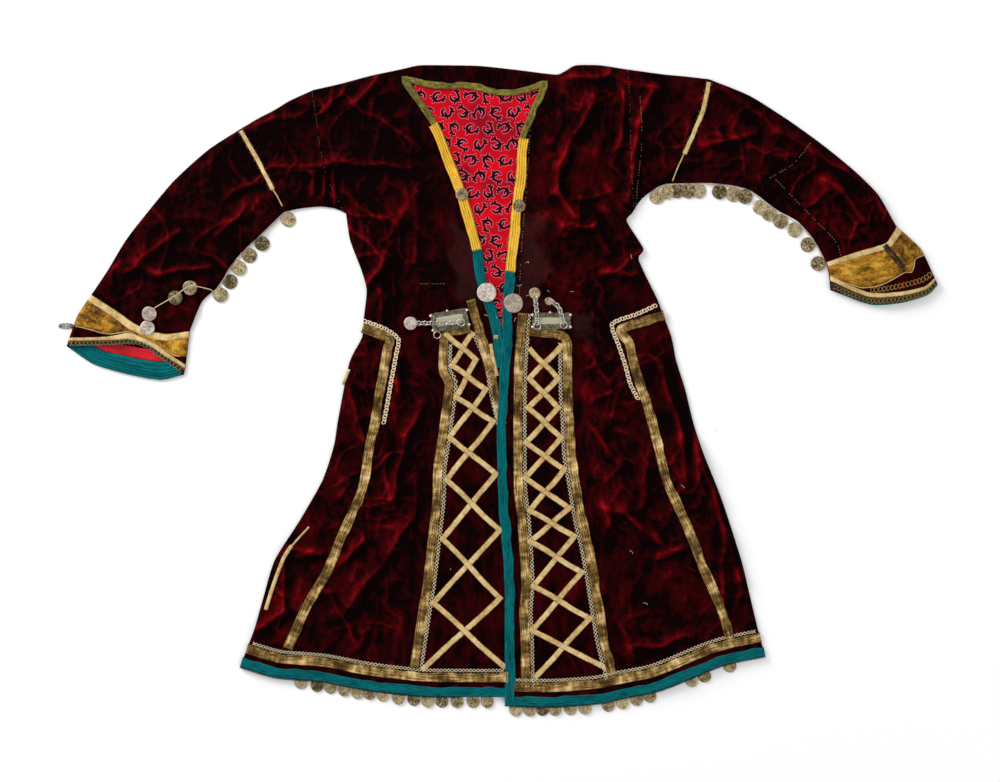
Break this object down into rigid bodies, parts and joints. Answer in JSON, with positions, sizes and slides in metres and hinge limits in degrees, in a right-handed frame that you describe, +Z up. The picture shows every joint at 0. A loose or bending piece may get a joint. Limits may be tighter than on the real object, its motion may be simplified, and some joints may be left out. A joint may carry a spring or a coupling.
{
  "type": "embellished coat-dress",
  "caption": "Wine velvet coat-dress laid flat, arms out, with taped lattice fronts, galloons, bright bindings and rows of sewn coins.",
  "frame": {"origin": "on the surface the garment lies on, under the middle of its bounding box", "axes": "+X to the wearer's left, +Y towards the neck, +Z up from the surface"},
  "size_m": [1.3182, 0.9766, 0.0151],
  "materials": {
    "velvet": "crushed silk velvet, wine red",
    "lining": "printed red cotton",
    "teal_binding": "corded silk, matt",
    "yellow_binding": "corded silk, matt",
    "olive_binding": "silk, matt",
    "galloon": "woven metal thread, dull gold",
    "cream_tape": "woven tape, cream",
    "brocade": "metal brocade, old gold",
    "scroll_braid": "dark braid couched with gold thread",
    "silver": "worn low-grade silver",
    "coin": "worn coin metal, brown and grey"
  },
  "bodies": {
    "root": {"arm_coins_left": "coin", "arm_coins_right": "coin", "back_bodice": "velvet", "back_lining": "lining", "back_neck": "velvet", "back_skirt": "velvet", "breast_coin_left": "coin", "breast_coin_right": "coin", "chain_braid_left": "silver", "chain_braid_right": "silver", "cuff_left": "velvet", "cuff_left_brocade": "brocade", "cuff_left_low_tape": "cream_tape", "cuff_left_scroll_braid": "scroll_braid", "cuff_left_top_tape": "cream_tape", "cuff_right": "velvet", "cuff_right_brocade": "brocade", "cuff_right_facing": "teal_binding", "cuff_right_lining": "lining", "cuff_right_low_tape": "cream_tape", "cuff_right_scroll_braid": "scroll_braid", "cuff_right_top_tape": "cream_tape", "cuff_tab_right": "silver", "front_bodice_left": "velvet", "front_bodice_right": "velvet", "front_skirt_left": "velvet", "front_skirt_right": "velvet", "galloon_inner_left": "galloon", "galloon_inner_right": "galloon", "galloon_outer_left": "galloon", "galloon_outer_right": "galloon", "hem_binding_left": "teal_binding", "hem_binding_right": "teal_binding", "hem_coins_left": "coin", "hem_coins_right": "coin", "hem_galloon_left": "galloon", "hem_galloon_right": "galloon", "lattice_left": "cream_tape", "lattice_right": "cream_tape", "neck_binding": "olive_binding", "plaque_left": "silver", "plaque_right": "silver", "side_galloon_left": "galloon", "side_galloon_right": "galloon", "sleeve_left_lower": "velvet", "sleeve_left_upper": "velvet", "sleeve_right_lower": "velvet", "sleeve_right_upper": "velvet", "sleeve_tape_left": "cream_tape", "sleeve_tape_right": "cream_tape", "teal_binding_left": "teal_binding", "teal_binding_right": "teal_binding", "waist_coin_left": "silver", "waist_coin_right": "silver", "yellow_binding_left": "yellow_binding", "yellow_binding_right": "yellow_binding"},
    "pendant_right_coin": {"pendant_right_coin": "silver"},
    "pendant_right_ring": {"pendant_right_ring": "silver"},
    "pendant_left_coin": {"pendant_left_coin": "silver"},
    "pendant_left_chain": {"pendant_left_chain": "silver"}
  },
  "joints": [
    {"name": "swing_right_coin", "type": "hinge", "parent": "root", "child": "pendant_right_coin", "pos_m": [-0.0497, 0.1023, 0.0109], "axis": [0, 1, 0], "range_deg": [0, 100]},
    {"name": "swing_right_ring", "type": "hinge", "parent": "root", "child": "pendant_right_ring", "pos_m": [-0.0909, 0.0888, 0.0109], "axis": [-1, 0, 0], "range_deg": [0, 110]},
    {"name": "swing_left_coin", "type": "hinge", "parent": "root", "child": "pendant_left_coin", "pos_m": [0.0586, 0.0918, 0.0109], "axis": [1, 0, 0], "range_deg": [0, 100]},
    {"name": "swing_left_chain", "type": "hinge", "parent": "root", "child": "pendant_left_chain", "pos_m": [0.0985, 0.0933, 0.0109], "axis": [1, 0, 0], "range_deg": [0, 100]}
  ]
}
